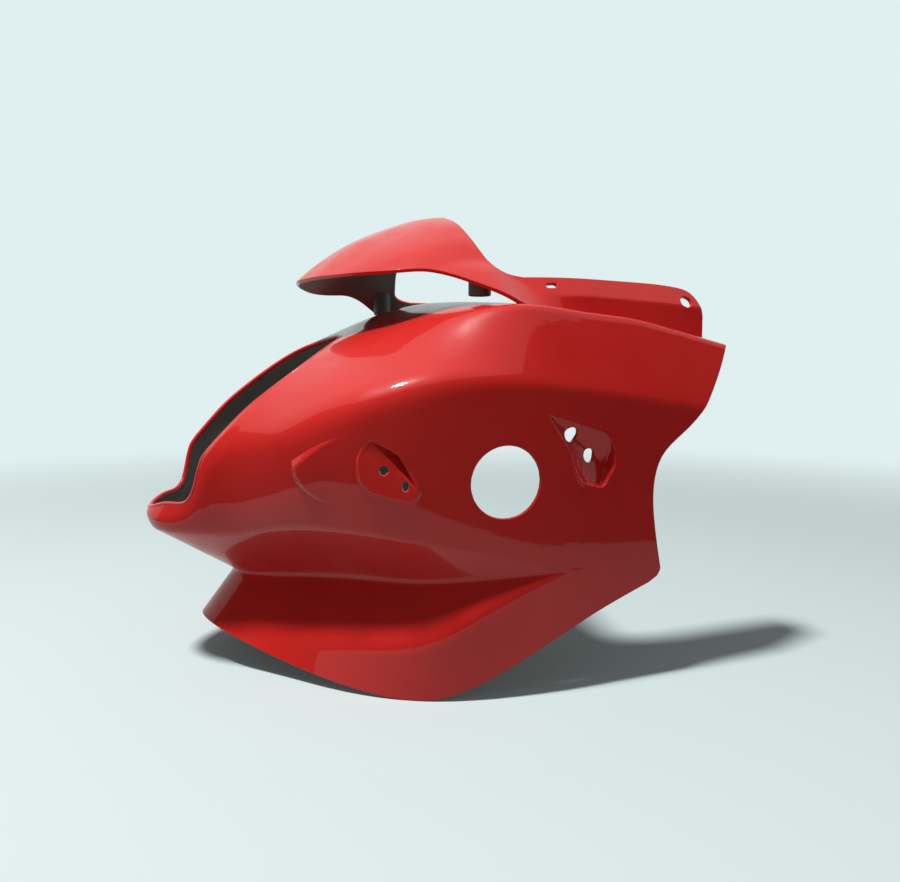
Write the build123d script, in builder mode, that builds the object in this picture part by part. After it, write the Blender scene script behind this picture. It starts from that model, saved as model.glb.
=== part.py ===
"""Headlight cowl of a small motorbike: one moulded shell with a visor bridge and two screen arms."""
import os

from build123d import *

# Sizes in mm. The nose faces -Y, the bike's left side is +X and the side holes lie on the X axis.
wall = 2.8
side_hole_diameter = 47.0
side_hole_middle = (162.2, 0, 0)
side_hole_facing = (1, -0.0875, -0.0547)
reach = 240.0

# Feature lines on the left half of the skin, from the nose to the rear: x, y, z. Each ends in a straight run.
skirt_line = [(0, -194, -143), (62, -148, -152), (116, -82, -162), (148, -20, -162), (160, 60, -150),
              (160, 200, -140)]
lip_line = [(0, -160, -99), (61, -122, -112), (106, -84, -109), (144, -39, -99), (152, -17, -86),
            (159, 16, -69), (162.26, 44, -62.5), (162.26, 200, -62.5)]
valley_line = [(0, -144, -78), (45, -110, -75), (88, -75, -70), (124, -41, -68), (147, -10, -64),
               (156.5, 16, -62), (162.33, 44, -60), (162.33, 200, -60)]
crease_line = [(0, -200, -43), (58, -154, -40), (88, -128, -32), (139, -74, -31), (158, -15, -43),
               (161.5, 16, -51), (162.4, 44, -57.5), (162.4, 200, -57.5)]
shoulder_line = [(0, -204, -31), (40, -181, -27), (57, -167, -3), (67, -155, 14), (87, -138, 24),
                 (108, -123.5, 31), (146, -87, 51),
                 (162, -43, 63), (166, 2, 62), (166, 58, 56), (163.5, 149, 43), (161.5, 200, 36)]
upper_line = [(0, -190, 0), (36, -178, 4), (53, -168, 14), (59, -134, 49), (63, -109, 67), (83, -70, 85),
              (124, -27, 96), (142, 0, 106), (147, 22, 110), (147, 59, 107), (147, 118, 100), (147, 200, 82)]
crown_line = [(8, -95, 78), (-4, -60, 92), (-4, -37, 104.5), (-4, -12, 115), (-4, 14, 119), (-4, 70, 92),
              (-4, 200, 60)]
shoulder_round = 18.0
upper_round = 9.0

# Planes that cut those lines: turned about an upright axis round the nose, then square to Y.
pivot_y = -95.0
pole_radius = 8.0
turns = (-20.0, 0.0, 20.0, 36.0, 50.0, 64.0, 78.0)
stations = (-95.0, -64.0, -36.0, -10.0, 16.0, 44.0, 90.0, 140.0, 195.0)

# Side view of the body: lower edge and rear edge as y, z.
chin_tip = (-168, -109)
lower_edge = [chin_tip, (-120, -128), (-75, -138), (-44, -140), (-7, -127), (58, -93), (112, -71)]
rear_edge = [(115.5, -65), (109, -34), (107, -8), (113, 12), (130, 27), (146, 41), (156, 53), (170, 73),
             (181, 92)]

# Headlight opening, measured across and up the slope from the lip of the nose.
lip_middle = (0, -202, -30)
slope = 40.6
opening_outline = [(0, 1), (22, 11), (43, 25), (50, 42), (53, 62), (58, 94), (60.5, 128), (54, 157),
                   (32, 177), (0, 187)]
opening_depth = 20.0

# Open deck between the screen arms, in plan.
deck_front = 14.0
deck_half_width = 124.0
deck_corner = 24.0
deck_floor = 40.0

# Bridge and screen arms: feature lines from front to rear, then their side view as y, z.
foot_line = [(108, -115, 66), (126, -40, 110), (130, -18, 115), (137, 11, 116), (138, 22, 112),
             (136, 45, 104), (134, 100, 97), (133, 200, 76)]
fold_line = [(98, -115, 74), (112, -40, 123), (113, -18, 130), (115, 11, 133), (124, 34, 126), (130, 60, 119),
             (130, 100, 115), (129, 200, 107)]
edge_line = [(88, -115, 82), (98, -40, 134), (100, -18, 139.5), (101, 11, 142), (111, 34, 138),
             (118, 60, 135), (120, 100, 132.5), (120, 200, 130)]
haunch_line = [(58, -115, 97), (60, -72, 134), (60, -54, 146.5), (60, -18, 163), (60, 11, 170.5),
               (60, 200, 174)]
brow_line = [(24, -115, 110), (25, -88, 134), (25, -54, 159.5), (25, -18, 174.5), (25, 11, 181.5),
             (25, 200, 187)]
ridge_line = [(-4, -115, 112), (-4, -93, 134), (-4, -54, 162), (-4, -18, 177.5), (-4, 11, 184.5),
              (-4, 200, 190)]
bridge_stations = (-114.0, -80.0, -50.0, -20.0, 10.0, 34.0, 60.0, 100.0, 195.0)
haunch_round = 40.0
visor_edge = [(-93, 134), (-45, 134), (-30, 134.5), (-16, 131), (-3, 125), (11, 118), (20, 113)]
bridge_rear = [(34, 129.5), (18, 135), (12, 148), (11, 190)]
arm_end = [(34, 129.5), (72, 129.8), (110, 129), (137, 128), (152, 126.5), (163, 123), (168, 116), (170, 107)]
arm_slot = (124, 51, 124)
arm_slot_tilt = 38.0
arm_slot_size = (9.0, 5.0)
arm_hole = (125, 157.5, 115)
arm_hole_tilt = 24.5
arm_hole_diameter = 10.5
arm_drill = 12.0

# Screw seats on each side, measured across and up from their middle: a flat floor that leans out of the
# panel at its lower edge and sinks at its upper edge, and a flank from there back to the panel.
# Floor and flank are planes through three spots: across, up, depth.
front_seat_middle = (145, -71.7, 10.1)
front_seat_facing = (1, -0.504, -0.157)
front_seat_outline = [(-10, 18), (-15.5, 4), (-14.5, -8), (-8, -15), (18.5, -18.5), (21, -12.5), (8, 9.5)]
front_seat_floor = [(-14, -8, -1.6), (5, 6, 3.5), (19, -16, 0)]
front_seat_flank = [(-10, 18.5, 0), (21, -13, 0), (5, 6, 3.5)]
front_screw = (-0.6, -0.6)
front_screw_diameter = 7.0
front_slot = (12.4, -10)
front_slot_size = (7.5, 5.0)
rear_seat_middle = (164.6, 50, 15)
rear_seat_facing = (1, 0, -0.03)
rear_seat_outline = [(-24, 26.5), (19, 13.5), (26, 4), (27, -8), (18.5, -22), (2, -18), (-4, -7), (-7, 2)]
rear_seat_floor = [(-24, 26, 0.3), (2, -18, -0.6), (25, -8.5, 8.5)]
rear_seat_flank = [(-24, 26.5, 0), (19, 13.5, 0), (14.5, -3, 7)]
rear_screws = ((-6.2, 12.5), (9.8, -0.9))
rear_screw_diameter = 9.5
seat_corner = 3.0
seat_reach = 24.0
seat_edge_slope = 40.0
seat_floor = 4.0

# Low pad in front of the front seat, proud at its tip and running out towards the seat.
pad_middle = (123.4, -102.8, 10.4)
pad_facing = (0.742, -0.68, -0.168)
pad_upper = [(14, 24), (-8, 11.3), (-23, -0.6)]
pad_lower = [(-23, -0.6), (-21.5, -9), (-10.4, -19.2), (2, -22.4), (14, -22)]
pad_root = (132.5, -92.4, 8.4)
pad_lean = 3.0
pad_edge_slope = 20.0

# Boss under each leg of the bridge.
boss_spot = (110, 5)
boss_diameter = 15.0
boss_end = 117.0
boss_root = (110, 5, 134.5)
boss_lean = (9, -2, 14)
pilot_diameter = 5.0
pilot_depth = 9.0


def cut_at(line, plane):
    """Point where a line meets a plane, as the plane's own x and y."""
    low = 0.0
    high = 1.0
    for _ in range(40):
        middle = (low + high) / 2
        if plane.to_local_coords(line @ middle).Z > 0:
            low = middle
        else:
            high = middle
    spot = plane.to_local_coords(line @ low)
    return Vector(spot.X, spot.Y)


def inset(path, depth):
    """The same path moved in by a wall, with mitred corners."""
    moved = []
    for index, spot in enumerate(path):
        before = path[max(index - 1, 0)]
        after = path[min(index + 1, len(path) - 1)]
        first = (spot - before) if index > 0 else (after - spot)
        second = (after - spot) if index < len(path) - 1 else (spot - before)
        first_side = Vector(-first.Y, first.X).normalized()
        second_side = Vector(-second.Y, second.X).normalized()
        middle = (first_side + second_side).normalized()
        moved.append(spot + middle * (depth / middle.dot(first_side)))
    return moved


def facing(turn):
    """Upright plane through the pivot, turned from the nose towards the side."""
    outward = Vector(0, -1, 0).rotate(Axis.Z, turn)
    behind = Vector(-1, 0, 0).rotate(Axis.Z, turn)
    return Plane((0, pivot_y, 0), x_dir=outward, z_dir=behind)


def across(station):
    """Upright plane square to Y."""
    return Plane((0, station, 0), x_dir=(1, 0, 0), z_dir=(0, -1, 0))


def feature(points, start):
    """A smooth line with a straight run at its end."""
    leaving = Vector(*points[-1]) - Vector(*points[-2])
    bend = Spline(*points[:-1], tangents=(start, leaving.normalized()))
    return Wire([bend, Line(points[-2], points[-1])])


def through(base, spots):
    """Plane through three spots given across, up and depth on a base plane, lined up with the base."""
    first, second, third = [base.from_local_coords((right, up, -depth)) for right, up, depth in spots]
    square = (second - first).cross(third - first)
    if square.dot(base.z_dir) < 0:
        square = square * -1
    rise = (first - base.origin).dot(square) / base.z_dir.dot(square)
    return Plane(base.origin + base.z_dir * rise, x_dir=base.x_dir, z_dir=square)


def walled(cuts):
    """Thin solid whose skin is ruled between the lines that join the cuts' corners."""
    skin = [[plane.from_local_coords(spot) for spot in path] for plane, path in cuts]
    back = [[plane.from_local_coords(spot) for spot in inset(path, wall)] for plane, path in cuts]
    steps = [index / (len(cuts) - 1) for index in range(len(cuts))]
    lines = [Edge.make_spline(column, parameters=steps) for column in zip(*skin)]
    lines += [Edge.make_spline(column, parameters=steps) for column in zip(*back)][::-1]
    pairs = zip(lines, lines[1:] + lines[:1])
    strips = [Face.make_surface_from_curves(first, second) for first, second in pairs]
    for end in (0, -1):
        strips.append(Face(Wire.make_polygon(skin[end] + back[end][::-1])))
    middle = len(cuts) * 2 // 3
    return Solid(Shell(strips)), skin[middle], back[middle]


side_lines = []
for points in (skirt_line, lip_line, valley_line, crease_line, shoulder_line, upper_line):
    side_lines.append(feature(points, (1, 0, 0)))
crown = feature(crown_line, (0, 1, 0.4))
cuts = []
for turn in turns:
    path = [cut_at(line, facing(abs(turn))) for line in side_lines]
    cuts.append((facing(turn), path + [Vector(pole_radius, crown_line[0][2])]))
for station in stations:
    path = [cut_at(line, across(station)) for line in side_lines + [crown]]
    cuts.append((across(station), path))
body, body_skin, body_back = walled(cuts)

bridge_lines = []
for points in (foot_line, fold_line, edge_line, haunch_line, brow_line, ridge_line):
    bridge_lines.append(feature(points, Vector(*points[1]) - Vector(*points[0])))
bridge_cuts = []
for station in bridge_stations:
    bridge_cuts.append((across(station), [cut_at(line, across(station)) for line in bridge_lines]))
arch, arch_skin, arch_back = walled(bridge_cuts)

with BuildPart() as bridge:
    add(arch)
    fillet(bridge.edges().sort_by_distance(arch_skin[3])[0], haunch_round)
    fillet(bridge.edges().sort_by_distance(arch_back[3])[0], haunch_round - wall)
    with BuildSketch(Plane.YZ):
        with BuildLine():
            Spline(*visor_edge)
            Polyline(visor_edge[-1], (26, 90), (arm_end[-1][0] - 4, 60), arm_end[-1])
            Spline(*arm_end)
            Spline(*bridge_rear)
            Polyline(bridge_rear[-1], (bridge_rear[-1][0], 210), (-125, 210), (-125, 134), visor_edge[0])
        make_face()
    extrude(amount=reach, mode=Mode.INTERSECT)
    slot_out = Vector(1, 0, 0).rotate(Axis.Y, -arm_slot_tilt)
    with BuildSketch(Plane(arm_slot, x_dir=(0, 1, 0), z_dir=slot_out)):
        SlotOverall(*arm_slot_size)
    extrude(amount=arm_drill, both=True, mode=Mode.SUBTRACT)
    hole_out = Vector(1, 0, 0).rotate(Axis.Y, -arm_hole_tilt)
    with BuildSketch(Plane(arm_hole, x_dir=(0, 1, 0), z_dir=hole_out)):
        Circle(arm_hole_diameter / 2)
    extrude(amount=arm_drill, both=True, mode=Mode.SUBTRACT)

with BuildPart() as boss:
    with BuildSketch(Plane.XY.offset(boss_end)):
        with Locations(boss_spot):
            Circle(boss_diameter / 2)
    extrude(amount=2 * boss_diameter)
    split(bisect_by=Plane(boss_root, z_dir=boss_lean), keep=Keep.BOTTOM)
    with BuildSketch(Plane.XY.offset(boss_end)):
        with Locations(boss_spot):
            Circle(pilot_diameter / 2)
    extrude(amount=pilot_depth, mode=Mode.SUBTRACT)

front_seat = Plane(front_seat_middle, x_dir=(0, 1, 0), z_dir=front_seat_facing)
rear_seat = Plane(rear_seat_middle, x_dir=(0, 1, 0), z_dir=rear_seat_facing)
front_floor = through(front_seat, front_seat_floor)
rear_floor = through(rear_seat, rear_seat_floor)
tubs = []
pads = []
pockets = []
for seat, floor, flank, outline in (
    (front_seat, front_floor, through(front_seat, front_seat_flank), front_seat_outline),
    (rear_seat, rear_floor, through(rear_seat, rear_seat_flank), rear_seat_outline),
):
    with BuildPart() as tub:
        with BuildSketch(seat.offset(-wall / 2)):
            Polygon(*outline, align=None)
            offset(amount=wall)
        extrude(amount=-seat_reach)
        split(bisect_by=floor.offset(-seat_floor), keep=Keep.TOP)
    with BuildPart() as pad:
        with BuildSketch(seat.offset(-wall / 2)) as shape:
            Polygon(*outline, align=None)
            fillet(shape.vertices(), seat_corner)
            offset(amount=wall / 2)
        extrude(amount=2 * wall, taper=seat_edge_slope)
        split(bisect_by=floor, keep=Keep.BOTTOM)
    with BuildPart() as pocket:
        with BuildSketch(seat.offset(2 * wall)) as shape:
            Polygon(*outline, align=None)
            fillet(shape.vertices(), seat_corner)
        extrude(amount=-seat_reach)
        split(bisect_by=floor, keep=Keep.TOP)
        split(bisect_by=flank, keep=Keep.TOP)
    tubs.append(tub.part)
    pads.append(pad.part)
    pockets.append(pocket.part)

pad_plane = Plane(pad_middle, x_dir=(0, 1, 0), z_dir=pad_facing)
with BuildPart() as nose_pad:
    add(body.rotate(Axis(pad_root, (0, 0, 1)), pad_lean))
    with BuildSketch(pad_plane.offset(-wall)):
        with BuildLine():
            Spline(*pad_upper)
            Spline(*pad_lower)
            Line(pad_lower[-1], pad_upper[0])
        make_face()
    extrude(amount=4 * wall, taper=pad_edge_slope, mode=Mode.INTERSECT)

with BuildPart() as cowl:
    add(body)
    for corner, radius in ((4, shoulder_round), (5, upper_round)):
        fillet(cowl.edges().sort_by_distance(body_skin[corner])[0], radius)
        fillet(cowl.edges().sort_by_distance(body_back[corner])[0], radius - wall)
    with BuildSketch(Plane.YZ):
        with BuildLine():
            Polyline((-215, -88), chin_tip)
            Spline(*lower_edge)
            Line(lower_edge[-1], rear_edge[0])
            Spline(*rear_edge)
            Polyline(rear_edge[-1], (195, 200), (-215, 200), (-215, -88))
        make_face()
    extrude(amount=reach, mode=Mode.INTERSECT)
    rim_plane = Plane(lip_middle, x_dir=(1, 0, 0), z_dir=Vector(0, 0, 1).rotate(Axis.X, slope))
    with BuildSketch(rim_plane.offset(-opening_depth)):
        with BuildLine():
            Spline(*opening_outline, tangents=((1, 0), (-1, 0)))
            Line(opening_outline[-1], opening_outline[0])
        make_face()
    extrude(amount=4 * opening_depth, mode=Mode.SUBTRACT)
    with BuildSketch(Plane.XY.offset(deck_floor)):
        with BuildLine():
            deck_turn = (deck_half_width, deck_front)
            FilletPolyline((0, deck_front), deck_turn, (deck_half_width, reach), radius=deck_corner)
            Polyline((deck_half_width, reach), (0, reach), (0, deck_front))
        make_face()
    extrude(amount=reach, mode=Mode.SUBTRACT)
    with BuildSketch(Plane(side_hole_middle, x_dir=(0, 1, 0), z_dir=side_hole_facing)):
        Circle(side_hole_diameter / 2)
    extrude(amount=seat_reach, both=True, mode=Mode.SUBTRACT)
    add(bridge.part)
    add(boss.part)
    add(tubs + pads + [nose_pad.part])
    add(pockets, mode=Mode.SUBTRACT)
    with BuildSketch(front_floor):
        with Locations(front_screw):
            Circle(front_screw_diameter / 2)
        with Locations(front_slot):
            SlotOverall(*front_slot_size, rotation=90)
    extrude(amount=-seat_reach, both=True, mode=Mode.SUBTRACT)
    with BuildSketch(rear_floor):
        with Locations(rear_screws):
            Circle(rear_screw_diameter / 2)
    extrude(amount=-seat_reach, both=True, mode=Mode.SUBTRACT)
    mirror(about=Plane.YZ)

cowl.part.label = "headlight_cowl"
os.makedirs("parts", exist_ok=True)
export_step(cowl.part, "parts/headlight_cowl.step")
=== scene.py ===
import math

import bpy
import numpy as np
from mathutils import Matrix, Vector


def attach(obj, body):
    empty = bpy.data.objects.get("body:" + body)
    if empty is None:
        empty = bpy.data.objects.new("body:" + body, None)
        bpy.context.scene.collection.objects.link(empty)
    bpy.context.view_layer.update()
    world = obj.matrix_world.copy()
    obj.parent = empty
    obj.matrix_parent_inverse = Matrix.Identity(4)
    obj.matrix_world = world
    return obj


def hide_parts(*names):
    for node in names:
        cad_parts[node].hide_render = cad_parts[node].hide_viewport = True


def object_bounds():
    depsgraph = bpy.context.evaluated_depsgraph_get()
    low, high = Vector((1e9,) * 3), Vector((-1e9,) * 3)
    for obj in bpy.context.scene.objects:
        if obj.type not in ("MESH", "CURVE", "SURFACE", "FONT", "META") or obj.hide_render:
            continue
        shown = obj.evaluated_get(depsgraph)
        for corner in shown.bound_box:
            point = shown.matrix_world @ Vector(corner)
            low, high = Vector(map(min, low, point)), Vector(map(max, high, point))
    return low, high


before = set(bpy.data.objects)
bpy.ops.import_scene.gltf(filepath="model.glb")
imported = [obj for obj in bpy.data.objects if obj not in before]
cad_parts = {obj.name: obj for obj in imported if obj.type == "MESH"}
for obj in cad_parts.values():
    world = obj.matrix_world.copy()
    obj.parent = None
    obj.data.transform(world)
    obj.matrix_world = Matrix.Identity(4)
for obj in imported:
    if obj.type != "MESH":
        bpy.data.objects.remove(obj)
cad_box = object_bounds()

# Looks of the headlight cowl: a thin moulded shell in gloss red paint, dark bare plastic inside.
# The cowl's sizes are in mm. The studio round it and the patterns in its finishes are in metres.
MM = 0.001
MIRROR = np.array([-1, 1, 1])

# Feature lines on the left half of the shell, nose to rear. Each ends in a straight run.
SKIRT = [(0, -194, -143), (62, -148, -152), (116, -82, -162), (148, -20, -162), (160, 60, -150),
         (160, 200, -140)]
LIP = [(0, -160, -99), (61, -123, -112), (108, -86, -108.5), (146.5, -40, -98.5), (154.5, -17, -85.5),
       (160, 16, -69), (162.26, 44, -62.5), (162.26, 200, -62.5)]
VALLEY = [(0, -144, -78), (45, -110, -75), (88, -75, -70), (124, -41, -68), (147, -10, -64),
          (156.5, 16, -62), (162.33, 44, -60), (162.33, 200, -60)]
CREASE = [(0, -200, -43), (58, -154, -40), (88, -128, -32), (139, -74, -31), (158, -15, -43),
          (161.5, 16, -51), (162.4, 44, -57.5), (162.4, 200, -57.5)]
SHOULDER = [(0, -204, -31), (40, -181, -27), (57, -167, -3), (67, -155, 14), (87, -138, 24),
            (108, -123.5, 31), (146, -87, 51), (162, -43, 63), (166, 2, 62), (166, 58, 56),
            (163.5, 149, 43), (161.5, 200, 36)]
UPPER = [(0, -190, 0), (36, -178, 4), (53, -168, 14), (59, -134, 49), (63, -109, 67), (82, -70, 86),
         (114, -35, 98), (136, -4, 107), (145.5, 22, 110), (147, 59, 107), (147, 118, 100), (147, 200, 82)]
CROWN = [(8, -95, 78), (0, -60, 92), (0, -37, 104.5), (0, -12, 115), (0, 14, 119), (0, 70, 92), (0, 200, 60)]
LINES_START, CROWN_START = (1, 0, 0), (0, 1, 0.4)
LINE_POINTS = 40

# Cross-sections: round the nose they turn about an upright axis and meet near it, then they stand square.
PIVOT_Y = -95
POLE_OUT, POLE_HEIGHT = 8, 78
TURNS = (-20, -10, 0, 10, 20, 30, 40, 50, 60, 70, 80)
STATIONS = (-95, -80, -64, -48, -32, -16, 0, 16, 30, 44, 62, 82, 104, 128, 154, 180, 198)

# Softness of each corner of the cross-section: the length rounded off on either side of it, at these steps.
SOFT_STEPS = (0, 3, 6, 9, 11, 12.5, 14, 15.5, 17, 20, 27)
SOFT = {"skirt": (1,) * len(SOFT_STEPS),
        "lip": (6, 7, 8, 8, 9, 9, 8, 8, 6, 4, 4),
        "valley": (5, 6, 7, 7, 7, 6, 5, 4, 3, 2, 2),
        "crease": (3, 3, 3, 3, 3, 3, 3, 3, 2, 2, 2),
        "shoulder": (5, 12, 18, 22, 20, 15, 10, 7, 5, 5, 5),
        "upper": (6, 7, 8, 10, 22, 28, 14, 8, 6, 5, 5),
        "crown": (30, 30, 30, 40, 60, 60, 60, 60, 60, 60, 60)}

# How far each panel between two lines swells out at its middle, at the same steps.
FLAT = (0,) * len(SOFT_STEPS)
SWELL = {"skirt": FLAT, "groove": FLAT, "overhang": FLAT,
         "cheek": (1, 2, 2.5, 2.5, 2, 1.6, 1.3, 1.1, 0.9, 0.7, 0.6),
         "strip": (0, 1, 2, 2, 1.6, 1.2, 0.8, 0.5, 0.4, 0.3, 0.3),
         "hood": (0, 1, 2, 3, 4, 4, 3, 2, 1, 0, 0)}

# Largest share of a panel that a softened corner takes, and how tightly the bend follows the corner.
CORNER_SHARE, CORNER_PULL = 0.49, 0.42

# Side view of the body as y, z.
LOWER_EDGE = [(-168, -109), (-120, -128), (-75, -138), (-44, -140), (-7, -127), (58, -93), (112, -71)]
REAR_EDGE = [(115.5, -65), (109, -34), (107, -8), (113, 12), (130, 27), (146, 41), (156, 53), (170, 73),
             (181, 92)]
OUTER_CORNERS = [(195, 200), (-230, 200), (-230, -88)]

# Headlight opening, across and up the slope from the lip of the nose, and how deep under the slope it cuts.
LIP_MIDDLE = (0, -202, -30)
SLOPE = math.radians(40.6)
OPENING = [(0, 1), (22, 11), (43, 25), (50, 42), (53, 62), (58, 94), (60.5, 128), (54, 157), (32, 177),
           (0, 187)]
OPENING_DEPTH, OPENING_EDGE_NEAR = 20, 0.02

# Deck between the screen arms, and the round side hole.
DECK_FRONT, DECK_HALF_WIDTH, DECK_CORNER, DECK_FLOOR = 14, 124, 24, 40
SIDE_HOLE_MIDDLE, SIDE_HOLE_FACING, SIDE_HOLE_RADIUS = (162.2, 0, 0), (1, -0.0875, -0.0547), 23.5

# A cut gives the distance to its edge, or CLEAR where it has no say. Holes in the side are past SIDE_START.
CLEAR, SIDE_START = 20.0, 60

# Feature lines of the bridge and the screen arms, front to rear, with their softness and swell.
FOOT = [(108, -115, 66), (126, -40, 110), (130, -18, 115), (137, 11, 116), (138, 22, 112), (136, 45, 104),
        (134, 100, 97), (133, 200, 76)]
FOLD = [(98, -115, 74), (112, -40, 123), (113, -18, 130), (114, 11, 134), (118.5, 31, 126.6),
        (127.5, 46, 118.6), (130, 62, 117.8), (130, 100, 116.6), (130, 142, 114.2), (130, 200, 109.5)]
EDGE = [(88, -115, 82), (98, -40, 134), (100, -18, 139.5), (101, 11, 142), (111, 34, 138), (118, 60, 135),
        (120, 100, 132.5), (120, 200, 130)]
HAUNCH = [(58, -115, 97), (60, -72, 134), (60, -54, 146.5), (60, -18, 163), (60, 11, 170.5), (60, 200, 174)]
BROW = [(24, -115, 110), (25, -88, 134), (25, -54, 159.5), (25, -18, 174.5), (25, 11, 181.5), (25, 200, 187)]
RIDGE = [(0, -115, 112), (0, -93, 134), (0, -54, 162), (0, -18, 177.5), (0, 11, 184.5), (0, 200, 190)]
BRIDGE_STATIONS = (-114, -98, -80, -64, -50, -34, -20, -5, 10, 20, 30, 38, 46, 56, 70, 88, 110, 140, 170, 195)
BRIDGE_SOFT_STEPS = (0, 8, 11, 19)
BRIDGE_SOFT = {"foot": (1, 1, 1, 1), "fold": (12, 8, 1.6, 1.6), "edge": (12, 8, 3, 3),
               "haunch": (20, 20, 20, 20), "brow": (16, 16, 16, 16), "ridge": (12, 12, 12, 12)}
BRIDGE_SWELL = {"arm": (0, 0, 0, 0), "arm_plate": (0, 0, 0, 0), "side": (3, 3, 0, 0),
                "haunch": (2, 2, 2, 2), "brow": (1, 1, 1, 1)}

# Side view of the bridge and the arms as y, z, then the slot and the hole in each arm.
VISOR_EDGE = [(-93, 134), (-45, 134), (-30, 134.5), (-16, 131), (-3, 125), (11, 118), (20, 113)]
BRIDGE_REAR = [(34, 129.5), (18, 135), (12, 148), (11, 190)]
ARM_END = [(34, 129.5), (72, 129.8), (110, 129), (137, 128), (152, 126.5), (163, 123), (168, 116), (170, 107)]
ARM_UNDER = [(166, 60), (26, 90)]
BRIDGE_OUTER = [(11, 210), (-125, 210), (-125, 134)]
ARM_SLOT, ARM_SLOT_TILT, ARM_SLOT_SIZE = (124, 51, 124), math.radians(38), (9, 5)
ARM_HOLE, ARM_HOLE_TILT, ARM_HOLE_RADIUS = (125, 157.5, 115), math.radians(24.5), 5.25
ARM_CUT_REACH = 12

# Screw seats, across and up from their middles: the outline, three spots of the floor and three of the
# sloping flank with their depths, and whether the flank sinks below the floor. Each hole on the floor has
# its place, its radius and the straight length that makes it a slot.
FRONT_SEAT = {"middle": (146.6, -72.5, 9.9), "facing": (1, -0.504, -0.157),
              "outline": [(-10, 18), (-15.5, 4), (-14.5, -8), (-8, -15), (18.5, -18.5), (21, -12.5),
                          (8, 9.5)],
              "floor": [(-14, -8, -4.2), (-10, 18, -0.9), (19, -16, -2)], "flank_sinks": True,
              "flank": [(-10, 18.5, -0.9), (21, -13, -0.8), (5, 6, 3)],
              "holes": [(-0.6, -0.6, 3.5, 0), (12.4, -10, 2.5, 2.5)]}
REAR_SEAT = {"middle": (165.3, 50, 15), "facing": (1, 0, -0.03),
             "outline": [(-24, 26.5), (19, 13.5), (26, 4), (27, -8), (18.5, -22), (2, -18), (-4, -7),
                         (-7, 2)],
             "floor": [(-24, 26, 0.3), (2, -18, -0.6), (25, -8.5, 8.5)], "flank_sinks": False,
             "flank": [(-24, 26.5, 0), (19, 13.5, 0), (14.5, -3, 7)],
             "holes": [(-6.2, 12.5, 5.1, 0), (9.8, -0.9, 5.1, 0)]}
SEAT_SOFT, SEAT_WALL_SLOPE, SEAT_LEDGE, SEAT_LEDGE_SLOPE = 0.9, 2.6, 2.2, 1.15
SEAT_CORNER, SEAT_CORNER_SHARE, SEAT_CORNER_POINTS = 3.0, 0.45, 6
SEAT_BOX, SEAT_HOLE_REACH = (34, 34, 25), 16

# Low pad in front of the front seat: proud at its tip, running out towards the seat.
PAD_MIDDLE, PAD_FACING = (123.4, -102.8, 10.4), (0.742, -0.68, -0.168)
PAD_UPPER = [(30, 33), (14, 24), (-8, 11.3), (-23, -0.6)]
PAD_LOWER = [(-23, -0.6), (-21.5, -9), (-10.4, -19.2), (2, -22.4), (30, -21)]
PAD_RISE, PAD_RUN_OUT = 2.9, 36
PAD_SOFT, PAD_UPPER_SLOPE, PAD_LOWER_SLOPE = 0.8, 0.6, 0.7
PAD_BOX, PAD_LINE_POINTS = (40, 40, 25), 12

# Boss under each end of the bridge, from its lower end to its root in the wall, with its pilot hole.
BOSS_SPOT, BOSS_END, BOSS_RADIUS = (110, 5), 117, 7.5
BOSS_EDGE, BOSS_EDGE_BEND, BOSS_STEP = 0.8, 0.3, 10
BOSS_ROOT, BOSS_LEAN = (110, 5, 134.5), (9, -2, 14)
PILOT_RADIUS, PILOT_DEPTH, PILOT_EDGE, PILOT_MIDDLE = 2.5, 9, 0.3, 0.05

# Wall with rounded rims, the bead along the lamp opening, and the kinds of face.
WALL, RIM_ROUND, RIM_TURNS = 2.8, 0.7, (0, 45, 90)
BEAD_RADIUS, BEAD_SIDES, BEAD_SPACING = 1.8, 14, 2.5
OUTSIDE, RIM, INSIDE = 0, 1, 2

# Nets along and across the skins: each stretch is its start, its end and how many parts it has. Cells on the
# seats and the pad, and in a margin round them, are split further.
SHELL_ALONG = ((0, 9, 54), (9, 20, 70), (20, 25, 18))
SHELL_ACROSS = ((0, 1, 8), (1, 2, 10), (2, 3, 11), (3, 4, 23), (4, 5, 18), (5, 6, 17))
BRIDGE_ALONG, BRIDGE_ACROSS = ((0, 19, 120),), ((0, 5, 55),)
FINE_PARTS, FINE_MARGIN, FINE_REACH = 6, 4.3, 22
CUT_ROUNDS, HAIR = 14, 1e-4

# Finishes: a darker and a paler tone, and the values of the pattern that give them.
RED_TONES = ((0.56, 0.015, 0.013, 1), (0.64, 0.023, 0.018, 1))
PLASTIC_TONES = ((0.125, 0.1, 0.087, 1), (0.185, 0.152, 0.133, 1))
TONE_VALUES = (0.3, 0.75)

# Studio: backdrop, floor as seen and as it lights the cowl, black card, lamp and camera.
PALE = (0.745, 0.863, 0.863, 1)
FLOOR_SEEN, FLOOR_LIGHTING = (0.6, 0.695, 0.695, 1), (0.3, 0.34, 0.34, 1)
FLOOR_FADE_START, FLOOR_FADE_END, FLOOR_HALF_WIDTH, FLOOR_GAP = 0.5, 1.6, 14, 0.0005
CARD_BLACK, CARD_GAP, CARD_TOP = (0.015, 0.012, 0.012, 1), 0.001, 0.7
CARD_NEAR = [(-0.25, -0.5), (0.08, -0.42), (0.24, -0.33), (0.37, -0.2), (0.42, 0.02), (0.42, 0.35),
             (0.36, 0.8)]
CARD_FAR = [(-0.3, -0.95), (0.2, -0.85), (0.5, -0.62), (0.68, -0.3), (0.72, 0.1), (0.72, 0.5), (0.6, 1.0)]
SOFT_LIGHT = 0.2
LAMP_TOWARD, LAMP_DISTANCE, LAMP_SIZE, LAMP_WATTS = (0.13, -0.36, 0.92), 2.4, 0.3, 66
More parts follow.
